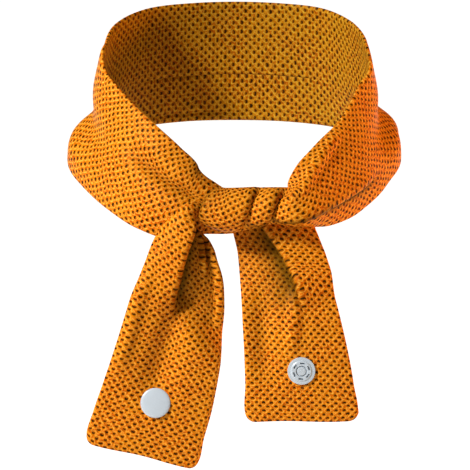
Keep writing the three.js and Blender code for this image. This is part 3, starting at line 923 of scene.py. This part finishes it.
def socket_profile():
    """The socket: a plate with a raised boss, a ring groove in it and a knob in the middle."""
    edge, boss = SOCKET_DIAMETER / 2, SOCKET_BOSS_DIAMETER / 2
    ring, knob = SOCKET_RING_DIAMETER / 2, SOCKET_KNOB_DIAMETER / 2
    plate = SEAT + SOCKET_PLATE
    top = plate + SOCKET_BOSS_RISE
    groove = top - SOCKET_RING_DEPTH
    corners = [(0, SEAT), (edge, SEAT), (edge, plate), (boss, plate), (boss - SOCKET_BOSS_SLOPE, top)]
    corners += [(ring, top), (ring, groove), (knob, groove), (knob, top)]
    return rounded([*corners, (0, top)], SOCKET_ROUNDING)


def group_input(group, name, kind, default):
    """Adds a named input to a node group, and gives the key that a modifier sets it by."""
    socket = group.interface.new_socket(name, in_out="INPUT", socket_type=kind)
    if default is not None:
        socket.default_value = default
    return socket.identifier


def slot_group(material):
    """Geometry nodes that cut a ring of slots in a turned solid."""
    group = bpy.data.node_groups.new("ring_of_slots", "GeometryNodeTree")
    keys = {"Geometry": group_input(group, "Geometry", "NodeSocketGeometry", None)}
    keys["Slot Count"] = group_input(group, "Slot Count", "NodeSocketInt", SLOT_COUNT)
    for name in ("Circle Radius", "Slot Length", "Slot Width", "Slot Depth", "Slot Height"):
        keys[name] = group_input(group, name, "NodeSocketFloat", MM)
    group.interface.new_socket("Geometry", in_out="OUTPUT", socket_type="NodeSocketGeometry")

    tree = Tree(group)
    given = {socket.name: Value(tree, socket) for socket in group.nodes.new("NodeGroupInput").outputs}
    size_parts = {0: given["Slot Width"], 1: given["Slot Length"], 2: given["Slot Depth"]}
    size = tree.node("ShaderNodeCombineXYZ", {}, size_parts)
    cube = tree.node("GeometryNodeMeshCube", {}, {"Size": size})
    ring = {"Vertices": given["Slot Count"], "Radius": given["Circle Radius"]}
    circle = tree.node("GeometryNodeMeshCircle", {}, ring)
    position = tree.node("GeometryNodeInputPosition")
    facing = tree.node("FunctionNodeAlignRotationToVector", {"axis": "X"}, {"Vector": position})
    places = {"Points": circle, "Instance": cube, "Rotation": facing}
    copies = tree.node("GeometryNodeInstanceOnPoints", {}, places)
    slots = tree.node("GeometryNodeRealizeInstances", {}, {"Geometry": copies})
    lift = tree.node("ShaderNodeCombineXYZ", {}, {2: given["Slot Height"]})
    lifted = tree.node("GeometryNodeTransform", {}, {"Geometry": slots, "Translation": lift})
    turn = {"Geometry": lifted, "Rotation": (0, 0, SLOT_TURN)}
    turned = tree.node("GeometryNodeTransform", {}, turn)
    solids = {0: given["Geometry"], 1: turned}
    cut = tree.node("GeometryNodeMeshBoolean", {"operation": "DIFFERENCE"}, solids)
    whole = tree.node("GeometryNodeRealizeInstances", {}, {"Geometry": cut})
    finished = tree.node("GeometryNodeSetMaterial", {}, {"Geometry": whole, "Material": material})
    group.links.new(finished.socket, group.nodes.new("NodeGroupOutput").inputs[0])
    return group, keys


def with_slots(made, material):
    """The object's mesh with its slots cut, and no modifier left on it."""
    group, keys = slot_group(material)
    modifier = made.modifiers.new("slots", "NODES")
    modifier.node_group = group
    sizes = {
        "Slot Count": SLOT_COUNT,
        "Circle Radius": SLOT_CIRCLE / 2,
        "Slot Length": SLOT_LENGTH,
        "Slot Width": SLOT_WIDTH,
        "Slot Depth": 2 * SLOT_DEPTH,
        "Slot Height": SEAT + SOCKET_PLATE + SOCKET_BOSS_RISE,
    }
    for name, value in sizes.items():
        modifier[keys[name]] = value
    bpy.context.view_layer.update()
    evaluated = made.evaluated_get(bpy.context.evaluated_depsgraph_get())
    mesh = bpy.data.meshes.new_from_object(evaluated)
    made.modifiers.clear()
    made.data = mesh
    return made


def shade_smooth(made, angle=35):
    """Smooth faces, with sharp edges only where the faces meet at more than an angle in degrees."""
    for face in made.data.polygons:
        face.use_smooth = True
    made.data.set_sharp_from_angle(angle=math.radians(angle))


def snap_object(name, profile, placement, material, slots=False):
    """A turned snap piece in its place on a tail."""
    made = new_object(name, turned_mesh(name, profile), material)
    if slots:
        made = with_slots(made, material)
    made.data.transform(placement)
    shade_smooth(made)
    return made


loop = loop_run()
left_tail = tail_run(LEFT_TAIL_ROWS, LEFT_TAIL_FOLDS, LEFT_TAIL_LENGTH)
right_tail = tail_run(RIGHT_TAIL_ROWS, RIGHT_TAIL_FOLDS, RIGHT_TAIL_LENGTH)

knit = knit_material()
plastic = plastic_material()

strip = cloth_object(
    "knitted_strip",
    [
        cloth_mesh(loop, LOOP_SHARP, (0, 1, 1)),
        cloth_mesh(left_tail, LEFT_TAIL_SHARP, (0, -1, TAIL_PITCH_SHARE), LEFT_HEM),
        cloth_mesh(right_tail, RIGHT_TAIL_SHARP, (loop.length, 1, TAIL_PITCH_SHARE), RIGHT_HEM),
    ],
    knit,
)
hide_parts("neck_strip")
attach(strip, "root")

left_snap = snap_frame(left_tail, LEFT_SNAP_INSET, LEFT_SNAP_PLACE)
right_snap = snap_frame(right_tail, RIGHT_SNAP_INSET, RIGHT_SNAP_PLACE)
behind = Matrix.Rotation(math.pi, 4, "Y")
snaps = [
    ("domed_cap", "left_snap_cap", cap_profile(), left_snap, False),
    ("back_stud", "left_snap_stud", stud_profile(), left_snap @ behind, False),
    ("slotted_socket", "right_snap_socket", socket_profile(), right_snap, True),
    ("back_cap", "right_snap_cap", cap_profile(), right_snap @ behind, False),
]
for name, node, profile, placement, slots in snaps:
    snap = snap_object(name, profile, placement, plastic, slots)
    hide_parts(node)
    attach(snap, "root")

# The floor, the light and the camera
FLOOR_DROP = 0.75
FLOOR_SIZE = 60
FLOOR_COLOUR = (0.93, 0.93, 0.93, 1)
GLOW_UNDER = (0.1, 0.1, 0.1, 1)
GLOW_FRONT = (0.3, 0.3, 0.3, 1)
GLOW_BACK = (1, 1, 1, 1)
GLOW_STRENGTH = 0.95
GLOW_DISTANCES = (0.8, 2.2)
GLOW_DEPTHS = (-1.5, 1.8)
CAMERA_TARGET = Vector((0, -80 * MM, -58.5 * MM))
CAMERA_ELEVATION = math.radians(12)
CAMERA_DISTANCE = 3.0
CAMERA_LENS = 478.7
KEY_PLACE = Vector((-1.9, -1.45, 1.65))
KEY_SIZE = 0.6
KEY_POWER = 119
WARM_PLACE = Vector((2.45, 0.35, 0.2))
WARM_SIZE = 0.7
WARM_POWER = 58
WARM_COLOUR = (1.0, 0.48, 0.05)
WORLD_COLOUR = (0.75, 1, 0.7, 1)
WORLD_STRENGTH = 0.04


def floor_material():
    """A pale floor that glows most behind the wrap, and least under it."""
    material, tree, shader = new_material("pale_floor")
    shader.inputs["Base Color"].default_value = FLOOR_COLOUR
    shader.inputs["Roughness"].default_value = 0.9
    place = tree.node("ShaderNodeTexCoord", output=3)
    distance = tree.node("ShaderNodeVectorMath", {"operation": "LENGTH"}, {0: place}, output=1)
    depth = tree.node("ShaderNodeSeparateXYZ", {}, {0: place}, output=1)
    far = tree.mix(depth.step(*GLOW_DEPTHS), GLOW_FRONT, GLOW_BACK)
    glow = tree.mix(distance.step(*GLOW_DISTANCES), GLOW_UNDER, far)
    tree.links.new(glow.socket, shader.inputs["Emission Color"])
    shader.inputs["Emission Strength"].default_value = GLOW_STRENGTH
    return material


def pale_floor():
    """The floor, well under the wrap."""
    material = floor_material()
    bpy.ops.mesh.primitive_plane_add(size=FLOOR_SIZE, location=(0, 0, -FLOOR_DROP))
    floor = bpy.context.object
    floor.name = "floor"
    floor.data.materials.append(material)


def pale_world():
    """A weak light from all round."""
    world = bpy.data.worlds.new("pale_world")
    bpy.context.scene.world = world
    world.use_nodes = True
    background = world.node_tree.nodes["Background"]
    background.inputs["Color"].default_value = WORLD_COLOUR
    background.inputs["Strength"].default_value = WORLD_STRENGTH


def area_light(name, place, size, power, colour=(1, 1, 1)):
    """A round lamp that faces the middle of the wrap."""
    light = bpy.data.lights.new(name, "AREA")
    light.shape = "DISK"
    light.size = size
    light.energy = power
    light.color = colour
    made = bpy.data.objects.new(name, light)
    bpy.context.scene.collection.objects.link(made)
    made.location = place
    made.rotation_mode = "QUATERNION"
    made.rotation_quaternion = (CAMERA_TARGET - place).to_track_quat("-Z", "Y")


def front_camera():
    """The camera, straight in front of the wrap and a little above it, as in the photograph."""
    data = bpy.data.cameras.new("camera")
    data.lens = CAMERA_LENS
    data.sensor_width = 36
    data.clip_end = 100
    camera = bpy.data.objects.new("camera", data)
    bpy.context.scene.collection.objects.link(camera)
    back = Vector((0, -math.cos(CAMERA_ELEVATION), math.sin(CAMERA_ELEVATION)))
    camera.location = CAMERA_TARGET + back * CAMERA_DISTANCE
    camera.rotation_mode = "QUATERNION"
    camera.rotation_quaternion = (-back).to_track_quat("-Z", "Y")
    return camera


pale_floor()
pale_world()
area_light("key_light", KEY_PLACE, KEY_SIZE, KEY_POWER)
area_light("warm_light", WARM_PLACE, WARM_SIZE, WARM_POWER, WARM_COLOUR)
bpy.context.scene.camera = front_camera()
bpy.context.scene.view_settings.view_transform = "Standard"
